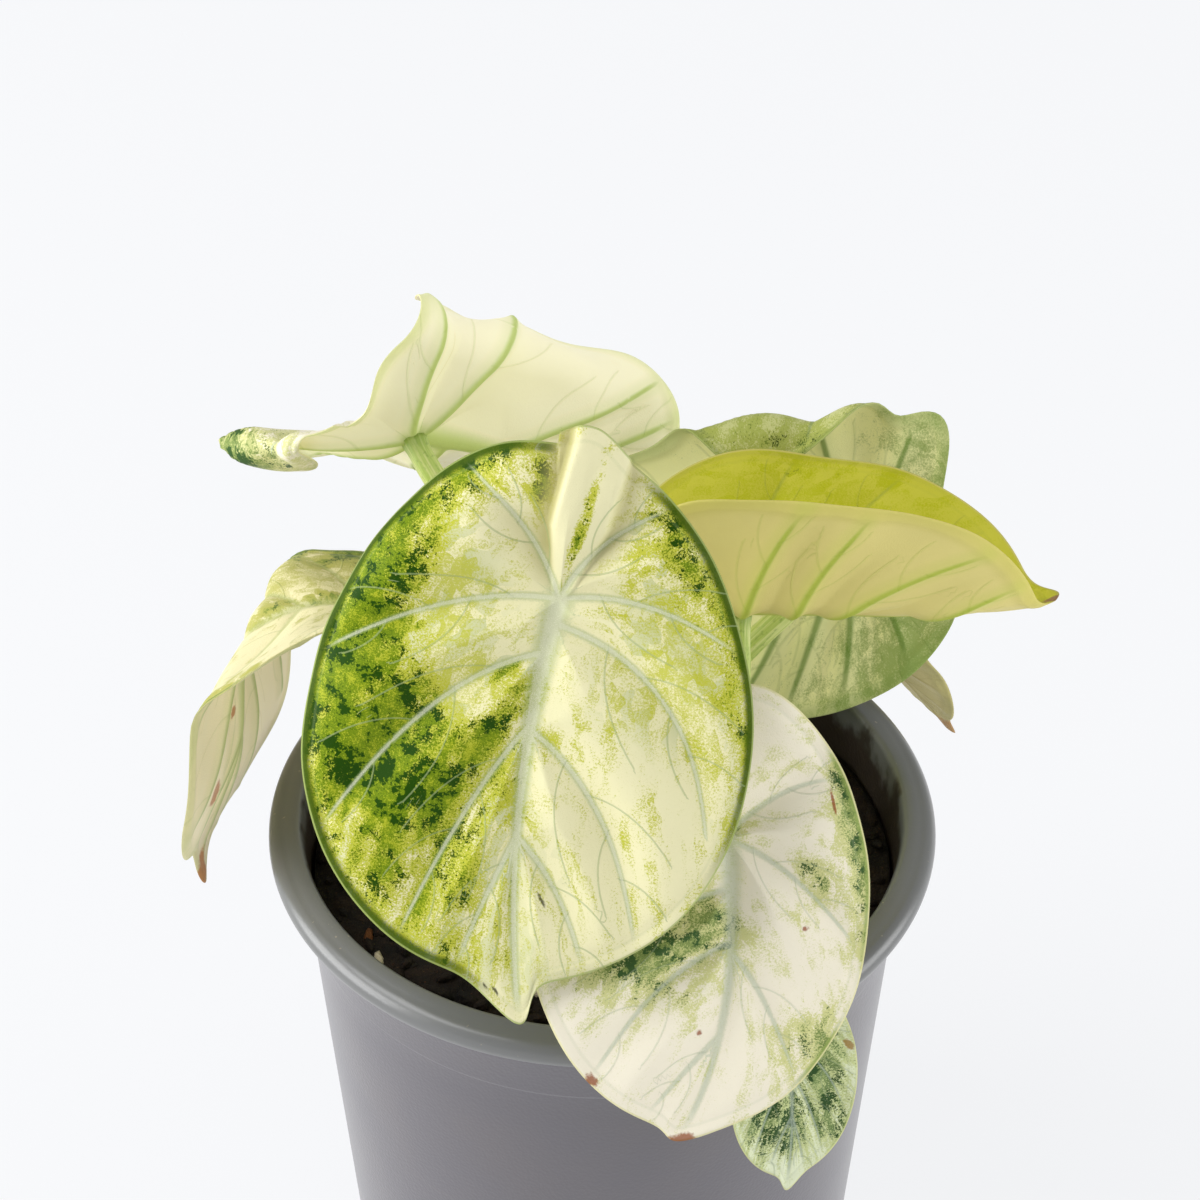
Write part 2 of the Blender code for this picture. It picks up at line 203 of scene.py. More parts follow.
usualLeaf = {
    "egg": 0.0, "shift": 0, "tipSpread": 9, "lobes": (0, 0), "notch": 1, "edge": [],
    "pleat": (0, 5), "pleatLean": 0, "midrib": 0, "veins": [], "swell": [], "scars": [], "calm": 1,
    "lean": 30, "stalk": (2.6, 2.0), "size": 1.0,
}
leaves = {
    "front": {
        "length": 98, "width": 74, "back": 0.27, "egg": -0.1, "shift": -3, "tip": (4, 7), "tipSpread": 6,
        "edge": [(172, 9, 3.5)],
        "joint": (-7, -27, 177), "toward": (-0.11, -0.51, -0.86), "face": (-0.05, -0.85, 0.5),
        "bends": [
            (16, -6, 130, -35, 14, 0), (-16, -6, -130, -35, 14, 0), (-28, 20, -90, -20, 12, 0),
            (24, 20, 90, -12, 12, 0)],
        "pleat": (3.6, 5), "pleatLean": 4.5, "midrib": -3, "slot": -105, "lean": 16, "reach": (24, 0),
        "stalk": (2.8, 2.2),
        "veins": [
            (0, -18, -1, -38, 13), (9, -20, 14, -36, 44), (21, -12, 34, -21, 60), (40, -7, 50, -12, 68),
            (0, -5, -12, -17, -20), (0, 15, -4, 34, 8), (4, 23, 9, 28, 36), (22, 13, 31, 19, 58),
            (40, 7, 48, 12, 66), (0, 4, -11, 17, -17)],
        "green": [
            (-35, 9, 14, 20, 0.5), (-30, 30, 15, 20, 0.4), (-15, 34, 9, 15, 0.3, 30), (-15, 54, 12, 12, 0.2),
            (-33, -10, 9, 12, 0.34), (-17, -21, 8, 7, 0.36), (-7, 20, 2.5, 8, 0.4, 30),
            (18, -14, 10, 6, 0.2, 20), (24, -5, 12, 6, 0.25), (35, 16, 4, 26, 0.2), (2, 71, 6, 6, -0.4),
            (2.4, -12, 1.3, 11, 0.75, 12), (3, -14, 5, 13, -0.4, 12), (-12, 2, 10, 8, -0.3),
            (-11, -8, 7, 7, -0.3), (-15, 16, 8, 5, -0.16), (-29, 5, 4, 3, 0.2), (-20, 20, 4, 2.5, 0.2, 30),
            (-29, 32, 4, 5, 0.3), (-8, 13, 1.2, 3.5, 0.45, 50), (-23, 25, 5, 3, 0.15, 30),
            (29, 8, 7, 12, 0.2), (-12, -26, 6, 4, 0.2), (-24, -14, 8, 10, 0.3), (-4.5, -19, 1.6, 8, 0.4)],
        "lime": [
            (26, 6, 14, 20, 0.65), (-20, 36, 20, 36, 0.8), (-32, 4, 14, 22, 0.5), (4, 62, 10, 9, 0.3),
            (12, 12, 10, 12, 0.16), (-26, -2, 16, 18, 0.3), (14, -12, 12, 10, 0.4), (7, 44, 5, 6, 0.2),
            (3, -14, 5, 13, -0.4, 12), (32, 36, 5, 20, 0.35)],
        "scars": [(2.5, 50, 2.0, 0.34, 55), (-4, 66, 2.4, 0.3, 20), (4.5, 72.5, 1.3, 1.3, 0)],
        "swell": [(-13, -15, 6, 8, 2.4), (-27, -4, 7, 8, 1.6), (-15, 6, 8, 5, 0.8), (16, -12, 6, 6, 1.2)],
        "palette": "marbled", "seed": 3,
    },
    "low": {
        "length": 80, "width": 59, "back": 0.35, "shift": -5, "tip": (-3, 2), "notch": 4,
        "joint": (21, -39, 136), "toward": (0, -0.59, -0.8), "face": (0.18, -0.82, 0.6),
        "bends": [(0, 30, 0, -10, 20, 0)],
        "midrib": 1, "slot": -70, "lean": 20, "reach": (20, 0),
        "veins": [
            (0, 9, -9, 20, -9), (1, 10, 4, 21, 18), (20, 6, 25, 12, 42), (9, -12, 12, -30, 24),
            (18, -14, 24, -24, 42), (0, -14, -2, -32, 4), (0, -8, -12, -18, -20), (34, -8, 40, -14, 48)],
        "green": [
            (-15, 19, 11, 7, 0.6), (-3, 14, 5, 4, 0.4), (24, 2, 4, 15, 0.5), (21, -9, 4, 8, 0.4),
            (14, 36, 5, 7, 0.35), (15, 8, 4, 4, 0.3), (-20, 16, 6, 4, 0.35), (-1, -1, 5, 3, 0.35)],
        "lime": [
            (-14, 20, 14, 9, 0.7), (22, 4, 5, 16, 0.5), (8, -2, 6, 4, 0.15), (2, 28, 5, 9, 0.2),
            (15, 36, 5, 6, 0.4), (-8, 44, 8, 6, 0.2)],
        "scars": [
            (18, -5, 2.4, 0.4, 80), (13, 16, 0.9, 0.5, 0), (-7, 52, 3.2, 1.4, 0), (-23, 41, 1.4, 0.8, 40),
            (-5, 33, 0.7, 0.5, 0)],
        "palette": "cream", "seed": 8, "size": 0.85,
    },
    "small": {
        "length": 45, "width": 23, "back": 0.2, "shift": 1, "tip": (-1, 3),
        "joint": (31, -55, 107), "toward": (0.03, -0.14, -0.99), "face": (0.3, -1, 0.1),
        "bends": [(0, -1, 180, -75, 5, 0), (3, 0, 90, 12, 6, 0), (-3, 0, -90, 12, 6, 0)],
        "midrib": 1, "slot": -38, "reach": (8, 8), "stalk": (1.7, 1.2),
        "green": [(6, 12, 4, 9, 0.5), (-2, 22, 5, 6, 0.5), (-6, 8, 5, 10, 0.3), (9, 22, 4, 7, 0.2)],
        "lime": [(2, 16, 12, 16, 0.5)],
        "scars": [(11, 6, 1.6, 0.8, 60)],
        "palette": "grey", "seed": 21, "size": 0.5,
    },
    "back": {
        "length": 100, "width": 76, "back": 0.27, "egg": 0.06, "tip": (0, 8), "lobes": (-9, 14), "notch": 9,
        "edge": [(-165, 14, -3), (-135, 12, 2)],
        "joint": (-33, 25, 171), "toward": (0.66, 0.53, -0.53), "face": (-0.375, 0.846, 0.38),
        "bends": [
            (20, -18, 168, -170, 4, 0), (-16, 5, -86, 110, 14, 0), (0, 0, -90, 30, 10, 0),
            (0, 0, 90, 38, 10, 0)],
        "slot": 105, "lean": 12, "reach": (16, 0), "stalk": (2.8, 2.1),
        "veins": [
            (0, -7, -10, -33, -2), (0, -22, 8, -39, 34), (21, -9, 34, -18, 54), (40, -8, 52, -14, 64),
            (0, 6, -11, 15, -22), (0, 17, -2, 37, 10), (8, 20, 14, 34, 40), (22, 12, 36, 20, 60)],
        "green": [(28, -22, 13, 8, 0.6), (32, 4, 7, 20, 0.25), (-34, 20, 5, 20, 0.15), (0, 64, 8, 8, 0.2)],
        "lime": [(0, 20, 40, 60, 0.2)],
        "scars": [(37, 20, 3, 1.5, 0)],
        "palette": "cream", "seed": 5,
    },
    "boat": {
        "length": 81, "width": 62, "back": 0.31, "egg": -0.08, "tip": (2, 4), "notch": 2,
        "edge": [(-125, 22, 7), (120, 25, 5)],
        "joint": (24, 6, 148), "toward": (1, 0, -0.02), "face": (0, 0.3, 0.95),
        "bends": [(0, 30, 0, 14, 30, 0), (1, 0, 90, 48, 9, 0), (-1, 0, -90, 67, 7, 0)],
        "slot": -5, "reach": (14, 0),
        "veins": [
            (0, -16, 1, -31, 10), (8, -14, 11, -28, 20), (14, -13, 22, -20, 41), (30, -8, 37, -12, 47),
            (0, 16, 1, 31, 10), (9, 15, 14, 27, 28), (20, 12, 28, 18, 44), (0, -6, -8, -18, -16),
            (0, 6, -8, 18, -16)],
        "green": [(8, -8, 8, 10, 0.2), (28, 10, 4, 20, 0.15)],
        "lime": [(14, 8, 20, 30, 0.75), (0, 52, 6, 8, 0.4)],
        "scars": [(0, 55, 1.6, 2.4, 0)],
        "palette": "yellow", "seed": 13, "size": 0.9, "calm": 0.7,
    },
    "wide": {
        "length": 92, "width": 63, "back": 0.24, "egg": 0.12, "shift": 1, "tip": (0, 8), "notch": 3,
        "edge": [(124, 9, 4), (136, 4, -1), (147, 9, 6), (172, 16, -3), (58, 20, -8), (98, 16, 4)],
        "joint": (45, 36, 136), "toward": (-0.98, 0.1, -0.15), "face": (0.1, 0.95, -0.4),
        "bends": [(23, 13, 90, -165, 7, 20), (0, 0, -90, -6, 20, 0)],
        "slot": 64, "reach": (14, 0),
        "veins": [
            (0, -9, -8, -26, -10), (0, -14, 0, -30, 4), (2, -14, 7, -29, 14), (9, -15, 13, -26, 22),
            (22, -12, 30, -20, 42), (0, 10, -8, 22, -13), (0, 14, 1, 31, 5), (9, 14, 14, 28, 26),
            (24, 12, 34, 18, 48)],
        "green": [
            (31, 12, 8, 18, 0.18), (-18, -12, 14, 12, 0.75), (22, -18, 12, 12, 0.4), (-24, 2, 8, 8, 0.25),
            (12, -14, 9, 8, 0.2), (-27, 12, 5, 10, 0.15)],
        "lime": [(-16, 16, 12, 12, 0.3), (10, -10, 14, 10, 0.3)],
        "palette": "olive", "seed": 17, "size": 0.95,
    },
    "left": {
        "length": 96, "width": 54, "back": 0.26, "shift": -2, "tip": (1, 7), "notch": 2,
        "edge": [(-62, 24, 5)],
        "joint": (-45, 15, 142), "toward": (-1, 0, 0.05), "face": (0, 0.33, 0.95),
        "bends": [
            (0, 60, 0, -45, 12, 0), (0, 36, 0, 20, 14, 0), (0, 17, -20, -60, 7, 0), (0, 1, 16, -35, 13, 0),
            (3, 0, 90, 20, 12, 0)],
        "slot": 180, "reach": (16, 0), "stalk": (2.4, 1.8),
        "green": [
            (-24, 2, 6, 20, 0.5), (-2, 8, 2.5, 16, 0.35), (24, 42, 4, 24, 0.4), (4, 40, 2, 16, 0.25),
            (-9, 46, 2, 12, 0.2)],
        "lime": [(-15, 12, 12, 28, 0.75), (18, 46, 8, 20, 0.35)],
        "scars": [(0, 68, 2, 5, 0), (3, 34, 1.6, 0.9, 60), (6, 48, 1.2, 2.6, 0)],
        "palette": "pale", "seed": 29, "size": 0.9, "calm": 0.35,
    },
    "dry": {
        "length": 42, "width": 20, "back": 0.26, "egg": 0.06, "tip": (0, 5),
        "joint": (52, 47, 106), "toward": (0.5, 0.1, -0.8), "face": (0.6, 0.6, 0.5),
        "bends": [(2, 0, 90, 40, 6, 0), (-2, 0, -90, 30, 6, 0)],
        "slot": 30, "lean": 56, "reach": (10, 14), "stalk": (1.5, 1.1),
        "green": [(0, 4, 8, 12, 0.35)],
        "lime": [(0, 6, 10, 12, 0.3)],
        "scars": [(0, 29, 4, 5, 0)],
        "palette": "dry", "seed": 33, "size": 0.45,
    },
}
leaves = {name: {**usualLeaf, **leaf} for name, leaf in leaves.items()}

# the look of a blade's mesh
blade = {
    "thickness": 0.5,   # mm
    "steps": 288, "rings": 84,   # points round the margin of the largest leaf, and from its joint to there
    "notchSpread": 15, "lobeAngle": 40, "lobeSpread": 25,   # degrees, as in the model
    "midribWidth": 1.7, "veinWidth": 0.5, "fineWidth": 0.3,   # half widths at their start, mm
    "groove": 0.4, "grooveSpread": 0.9,   # how deep the veins lie in the upper side, mm
    "rib": 0.45, "ribSpread": 0.8,        # how far they stand out below, mm
    "quilt": 2.5, "quiltReach": 4.5,      # how far the blade swells between them, mm
    "wave": 0.5,                          # slow waves all over, mm
    "ripple": 0.4, "ripples": 9,          # waves round the margin, mm
    "hem": 0.3, "hemPlace": 2.3, "hemSpread": 0.9,   # a shallow dent inside the margin, mm
    "meshStep": 0.8, "fineHalf": 0.13,    # the mesh's spacing and a fine vein's half width, mm
}

# side veins for a leaf with no list of its own: start on the midrib, then a control and an end point,
# as shares of the half width, and of the front's or the back's length
usualVeins = [(0, 0.45, -0.02, 0.96, 0.16), (0.12, 0.55, 0.2, 0.9, 0.56), (0.3, 0.36, 0.46, 0.56, 0.8),
              (0.55, 0.2, 0.7, 0.3, 0.92), (0, 0.16, -0.45, 0.5, -0.75)]

# fine veins: where each leaves its side vein, how long it is and how far it turns, as shares of that vein
branches = [(0.25, 0.5, 0.36), (0.42, 0.44, -0.42), (0.6, 0.34, 0.4), (0.75, 0.24, -0.4)]


def outlineAt(leaf, theta):
    # the margin at an angle round the joint, which is 0 towards the tip
    back = leaf["back"] * leaf["length"]
    hook, point = leaf["tip"]
    front = leaf["length"] - back - point
    fromBack = math.pi - np.abs(theta)
    tipShare = hill(theta, math.radians(leaf["tipSpread"]))
    notchShare = hill(fromBack, math.radians(blade["notchSpread"]))
    lobeShare = hill(fromBack - math.radians(blade["lobeAngle"]), math.radians(blade["lobeSpread"]))
    u = leaf["width"] / 2 * np.sin(theta) * (1 - leaf["egg"] * np.cos(theta))
    u = u + leaf["shift"] + hook * tipShare
    v = (front - back) / 2 + (front + back) / 2 * np.cos(theta) + point * tipShare
    v = v + leaf["notch"] * notchShare - np.where(theta > 0, *leaf["lobes"][::-1]) * lobeShare
    for angle, spread, out in leaf["edge"]:
        # a place where the margin stands out further, or less far
        share = 1 + out * hill(theta - math.radians(angle), math.radians(spread)) / np.hypot(u, v)
        u, v = u * share, v * share
    return u, v


def bend(points, u0, v0, heading, angle, length, spread):
    # curls a flat sheet past a line, towards its upper side if the angle is positive
    x, y, z = points.T
    aheadX, aheadY = math.sin(math.radians(heading)), math.cos(math.radians(heading))
    past = (x - u0) * aheadX + (y - v0) * aheadY
    turnAll = np.full(len(points), math.radians(angle))
    if spread:
        turnAll *= hill((x - u0) * aheadY - (y - v0) * aheadX, spread)
    bent = (past > 0) & (np.abs(turnAll) > 1e-4)
    radius = length / np.where(bent, turnAll, 1)
    turn = np.minimum(past, length) / radius
    rest = np.maximum(past - length, 0)
    along = (radius - z) * np.sin(turn) + rest * np.cos(turn)
    lift = radius - (radius - z) * np.cos(turn) + rest * np.sin(turn)
    moved = np.stack([x + (along - past) * aheadX, y + (along - past) * aheadY, lift], 1)
    return np.where(bent[:, None], moved, points)


def leafAxes(leaf):
    tip = Vector(leaf["toward"]).normalized()
    face = Vector(leaf["face"])
    face = (face - tip * face.dot(tip)).normalized()
    return np.array([face.cross(tip), tip, face])


def placeSheet(leaf, points):
    for step in leaf["bends"]:
        points = bend(points, *step)
    return points @ leafAxes(leaf) + np.array(leaf["joint"])


def curvePoints(start, control, end, count=24):
    t = np.linspace(0, 1, count)[:, None]
    return (1 - t) ** 2 * np.array(start) + 2 * t * (1 - t) * np.array(control) + t ** 2 * np.array(end)


def midribAt(leaf, v):
    front = (1 - leaf["back"]) * leaf["length"]
    share = np.clip(v / front, 0, 1)
    return leaf["midrib"] * 4 * share * (1 - share) + (leaf["shift"] + leaf["tip"][0]) * share ** 3


def veinLines(leaf):
    # the midrib, the side veins and the fine veins between them, as (points, half widths)
    back = leaf["back"] * leaf["length"]
    front = leaf["length"] - back
    half = leaf["width"] / 2
    size = leaf["size"]
    v = np.linspace(0, front, 40)
    fade = 0.26 + 0.74 * np.linspace(1, 0, 40) ** 2.4
    midrib = [(np.stack([midribAt(leaf, v), v], 1), blade["midribWidth"] * size * fade)]
    side = leaf["veins"]
    if not side:
        side = []
        for start, cu, cv, eu, ev in usualVeins:
            depth = front if ev > 0 else back
            for sign in (-1, 1):
                side.append((start * front, sign * cu * half, cv * depth, sign * eu * half, ev * depth))
    main, fine = [], []
    for start, cu, cv, eu, ev in side:
        line = curvePoints((midribAt(leaf, start), start), (cu, cv), (eu, ev))
        main.append((line, blade["veinWidth"] * size * np.linspace(1, 0.45, len(line))))
        outward = line[-1] - line[0]
        reach = np.linalg.norm(outward)
        normal = np.array([-outward[1], outward[0]]) / reach
        for share, length, turn in branches:
            root = line[int(share * (len(line) - 1))]
            tip = root + (outward / reach * 0.85 + normal * turn) * reach * length
            elbow = root + (outward / reach * 0.25 + normal * turn * 0.85) * reach * length
            branch = curvePoints(root, elbow, tip, 12)
            fine.append((branch, blade["fineWidth"] * size * np.linspace(1, 0.4, len(branch))))
    return midrib, main, fine


def lineField(u, v, line, widths):
    # distance to one line in its own half widths and in mm, and which side of it a place is on
    far = 99.0
    ratio, away, side = [np.full(len(u), value) for value in (far, far, 0.0)]
    for p, q, width in zip(line, line[1:], widths):
        d = q - p
        t = np.clip(((u - p[0]) * d[0] + (v - p[1]) * d[1]) / d.dot(d), 0, 1)
        gap = np.hypot(u - p[0] - t * d[0], v - p[1] - t * d[1])
        side = np.where(gap < away, d[0] * (v - p[1]) - d[1] * (u - p[0]), side)
        away = np.minimum(away, gap)
        ratio = np.minimum(ratio, gap / width)
    return ratio, away, side


def nearest(u, v, lines):
    # the field of the nearest line: in half widths, in mm, and in mm with the side as its sign
    ratios, aways, sides = np.array([lineField(u, v, *line) for line in lines]).transpose(1, 0, 2)
    away = aways.min(0)
    side = sides[aways.argmin(0), np.arange(len(u))]
    return ratios.min(0), away, away * np.where(side > 0, 1, -1)


def fromTip(vein):
    # the angle between the midrib and a side vein's end
    line, _ = vein
    return math.atan2(abs(line[-1][0]), line[-1][1])


def fanField(leaf, u, v, main, midAway):
    # how many side veins lie between the back of the blade and a place, with the part of the last gap:
    # its level lines run along the veins, so the marbling and the net of small veins can follow them
    middle = np.where(v > 0, midribAt(leaf, v), 0)
    backAway = np.hypot(u, np.maximum(v, 0))
    fan = np.zeros(len(u))
    for sign in (-1, 1):
        own = [vein for vein in main if (vein[0][-1][0] - vein[0][0][0]) * sign > 0]
        borders, passed = [backAway], np.zeros(len(u), int)
        for line, _ in sorted(own, key=fromTip, reverse=True):
            onward = line[-1] + (line[-1] - line[-2]) * 12
            _, away, side = lineField(u, v, np.vstack([line, onward]), np.ones(len(line)))
            borders.append(away)
            passed += side * sign > 0
        borders = np.stack([*borders, midAway])
        here = np.arange(len(u))
        before, after = borders[passed, here], borders[passed + 1, here]
        fan = np.where((u - middle) * sign > 0, passed + before / (before + after + 1e-6), fan)
    along = np.hypot(u - middle, np.minimum(v, 0))
    return fan, along, np.where(u > middle, 1.0, -1.0)


def askew(u, v, su, sv, turn):
    # places across and along a spot that is turned
    c, s = math.cos(math.radians(turn)), math.sin(math.radians(turn))
    return (u - su) * c + (v - sv) * s, (v - sv) * c - (u - su) * s


def patches(u, v, spots):
    # soft spots: place, half sizes, amount, and a turn if it lies askew
    total = np.zeros(len(u))
    for su, sv, ru, rv, amount, *turn in spots:
        across, along = askew(u, v, su, sv, sum(turn))
        total += amount * np.exp(-((across / ru) ** 2) - (along / rv) ** 2)
    return total


def scarField(u, v, scars):
    # dry marks: place, half sizes and turn
    mark = np.zeros(len(u))
    for su, sv, long, wide, turn in scars:
        along, across = askew(u, v, su, sv, turn)
        mark = np.maximum(mark, 1.4 - np.hypot(along / long, across / wide))
    return np.clip(mark, 0, 1)


def flatSheet(leaf, steps, rings):
    # the blade's points on the flat: the joint first, then ring after ring out to the margin
    turn = np.linspace(-math.pi, math.pi, steps, endpoint=False)
    theta = turn - 0.3 * np.sin(2 * turn)
    edgeU, edgeV = outlineAt(leaf, theta)
    share = np.arange(1, rings + 1) / rings
    u = np.concatenate([[0], np.outer(share, edgeU).ravel()])
    v = np.concatenate([[0], np.outer(share, edgeV).ravel()])
    inner = np.concatenate([[0], np.repeat(share, steps)])
    fromJoint = np.concatenate([[1], np.tile(np.hypot(edgeU, edgeV), rings)])
    return u, v, inner, (1 - inner) * fromJoint


def pleatAt(leaf, u, v):
    # the raised pleat behind the joint, and the painted shade at the foot of its steep sides
    height, spread = leaf["pleat"]
    behind = np.clip(-v / (leaf["back"] * leaf["length"]), 0, 1)
    width = spread * np.minimum(0.25 + 1.6 * behind, 1.0)
    away = u - leaf["pleatLean"] * behind
    form = np.exp(-((away / width) ** 14)) - 0.1 * hill(away)
    flank = np.abs(away) - width - 0.3
    creaseShade = hill(flank, np.where(flank > 0, 3.0, 0.7)) * np.where(away < 0, 1, 0.6)
    creaseShade *= np.minimum(1, behind * 3) * (height > 0)
    return height * np.sin(behind * math.pi / 2) * form, creaseShade


def bladeFaces(steps, rings, count):
    # fans at the joint and a strip round the margin, then the upper and the lower side
    last = 1 + (rings - 1) * steps
    faces = []
    for i in range(steps):
        j = (i + 1) % steps
        faces.append((0, 1 + j, 1 + i))
        faces.append((count, count + 1 + i, count + 1 + j))
        faces.append((last + j, count + last + j, count + last + i, last + i))
    top = ringFaces(rings, steps, 1)
    return faces + top + [tuple(k + count for k in face[::-1]) for face in top]


def bothSides(*columns):
    # the same values for the upper and the lower side, as vectors
    return np.tile(np.stack(columns, 1), (2, 1))


def makeBlade(name, leaf, finish):
    size, phase = leaf["size"], leaf["seed"]
    detail = 0.35 + 0.65 * size
    steps, rings = int(blade["steps"] * detail), int(blade["rings"] * detail)
    u, v, share, margin = flatSheet(leaf, steps, rings)
    midrib, main, fine = veinLines(leaf)
    midRatio, midAway, midSigned = nearest(u, v, midrib)
    mainRatio, mainAway, mainSigned = nearest(u, v, main)
    _, fineAway, fineSigned = nearest(u, v, fine)
    away = np.minimum(midAway, mainAway)
    signed = np.where(midAway < mainAway, midSigned, mainSigned)
    widths = np.clip(away / np.maximum(np.minimum(midRatio, mainRatio), 0.01), 0.1, 3)
    inside = 1 - share ** 6
    slow = np.sin(u * 0.23 + phase) * np.sin(v * 0.19 + 2 * phase) + 0.6 * np.sin(u * 0.11 - v * 0.31 + phase)
    pleat, creaseShade = pleatAt(leaf, u, v)
    middle = pleat + patches(u, v, leaf["swell"])
    middle += size * leaf["calm"] * blade["quilt"] * (1 - hill(away, blade["quiltReach"])) * inside
    middle += size * leaf["calm"] * blade["wave"] * slow * share
    middle -= size * blade["groove"] * hill(away, blade["grooveSpread"] + widths * 0.6) * inside
    middle += size * blade["ripple"] * np.sin(np.arctan2(u, v) * blade["ripples"] + phase) * share ** 8
    middle -= size * blade["hem"] * hill(margin - blade["hemPlace"], blade["hemSpread"])
    below = size * blade["rib"] * hill(away, blade["ribSpread"] + widths * 0.6) * inside
    thick = blade["thickness"] * (0.6 + 0.4 * size) * np.sqrt(np.clip(1 - share ** 40, 0.04, 1))
    upper = placeSheet(leaf, np.stack([u, v, middle], 1))
    lower = placeSheet(leaf, np.stack([u, v, middle - thick - below], 1))
    count = len(u)
    side = np.repeat([1.0, 0.0], count)
    green = np.minimum(patches(u, v, leaf["green"]), 0.7)
    lime = np.minimum(patches(u, v, leaf["lime"]), 0.6)
    carried = {
        "flat": np.stack([np.tile(u, 2), np.tile(v, 2), side * 40 + phase * 50], 1),
        "veins": bothSides(signed, fineSigned, away),
        "reach": bothSides(widths, fineAway, margin),
        "tone": bothSides(green, lime, scarField(u, v, leaf["scars"])),
        "fan": bothSides(*fanField(leaf, u, v, main, midAway)),
        "creaseShade": np.tile(creaseShade, 2),
        "side": side,
    }
    faces = bladeFaces(steps, rings, count)
    points = np.concatenate([upper, lower])
    meshPiece(f"leafBlade_{name}", points, faces, finish, [f"blade_{name}"], carried)


# colours of the blades: from pale to dark on the upper side, its veins and margin, then the underside;
# and how much of each mark a blade has, with its margin's band in mm

usualLook = {
    "none": (0, 0, 0), "creaseShade": (166, 160, 100),   # no light, and the painted shade at the foot of a pleat's steep side
    # glow: painted light, how brightly a blade's underside glows for light coming through it
    "greenMuch": 1.0, "veinMuch": 0.6, "edgeMuch": 0.6, "fleck": 1.0, "glow": 0.13, "fineMuch": 0.3,
    "underMottle": 0.5,
}
palettes = {
    "marbled": {
        "pale": (226, 221, 178), "haze": (166, 178, 126), "lime": (182, 184, 48), "mid": (104, 132, 8),
        "dark": (26, 64, 0), "vein": (236, 236, 214), "veinShade": (154, 170, 116), "edge": (60, 84, 8),
        "rim": (160, 174, 100), "under": (206, 204, 140), "underMid": (140, 156, 90),
        "underVein": (150, 176, 74), "scar": (52, 50, 30), "veinMuch": 0.9, "edgeWidth": 1.7,
        "edgeMuch": 0.95, "fineMuch": 0.5,
    },
    "cream": {
        "pale": (236, 229, 208), "haze": (206, 208, 170), "lime": (204, 204, 138), "mid": (128, 148, 78),
        "dark": (58, 88, 46), "vein": (216, 222, 204), "veinShade": (168, 182, 144), "edge": (142, 160, 84),
        "rim": (220, 214, 160), "under": (238, 232, 196), "underMid": (190, 200, 108),
        "underVein": (166, 188, 78), "scar": (144, 74, 36), "veinMuch": 0.7, "edgeWidth": 1.0,
        "edgeMuch": 0.8, "fleck": 0.8, "glow": 0.19, "fineMuch": 0.28, "underMottle": 0.4,
    },
    "grey": {
        "pale": (222, 228, 196), "haze": (176, 190, 156), "lime": (196, 204, 142), "mid": (112, 136, 80),
        "dark": (46, 76, 38), "vein": (184, 196, 184), "veinShade": (130, 148, 118), "edge": (150, 170, 96),
        "rim": (208, 208, 150), "under": (206, 206, 156), "underMid": (146, 160, 98),
        "underVein": (156, 176, 90), "scar": (160, 122, 62), "veinMuch": 0.8, "edgeWidth": 0.7,
        "greenMuch": 1.1,
    },
    "yellow": {
        "pale": (192, 188, 62), "haze": (188, 184, 62), "lime": (174, 176, 26), "mid": (146, 154, 34),
        "dark": (110, 120, 34), "vein": (166, 174, 66), "veinShade": (158, 164, 60), "edge": (150, 146, 60),
        "rim": (200, 190, 110), "under": (212, 200, 128), "underMid": (186, 180, 78),
        "underVein": (160, 180, 56), "scar": (140, 96, 74), "edgeWidth": 1.2, "greenMuch": 0.7, "fleck": 0.7,
        "underMottle": 0.4,
    },
    "olive": {
        "pale": (196, 198, 134), "haze": (160, 172, 116), "lime": (164, 172, 84), "mid": (98, 120, 42),
        "dark": (44, 66, 28), "vein": (146, 162, 112), "veinShade": (110, 130, 80), "edge": (80, 108, 48),
        "rim": (170, 180, 110), "under": (226, 224, 166), "underMid": (116, 140, 62),
        "underVein": (96, 128, 48), "scar": (112, 84, 54), "veinMuch": 0.75, "edgeWidth": 1.2,
        "edgeMuch": 0.8, "greenMuch": 1.2, "fleck": 0.9, "underMottle": 0.8,
    },
    "pale": {
        "pale": (222, 214, 170), "haze": (186, 182, 118), "lime": (172, 170, 86), "mid": (126, 142, 62),
        "dark": (80, 102, 46), "vein": (192, 198, 140), "veinShade": (160, 170, 104), "edge": (104, 128, 54),
        "rim": (196, 190, 120), "under": (240, 228, 192), "underMid": (190, 194, 120),
        "underVein": (172, 184, 112), "scar": (184, 120, 74), "edgeWidth": 1.4, "edgeMuch": 0.85,
        "greenMuch": 0.9, "fleck": 0.35, "glow": 0.15, "fineMuch": 0.25,
    },
    "dry": {
        "pale": (204, 198, 144), "haze": (180, 172, 120), "lime": (178, 178, 96), "mid": (116, 128, 66),
        "dark": (86, 96, 50), "vein": (166, 154, 100), "veinShade": (150, 140, 90), "edge": (180, 142, 80),
        "rim": (190, 150, 96), "under": (200, 190, 138), "underMid": (148, 146, 86),
        "underVein": (166, 154, 90), "scar": (172, 132, 88), "veinMuch": 0.5, "edgeWidth": 0.8,
        "greenMuch": 0.8, "fleck": 0.5, "glow": 0.1,
    },
}


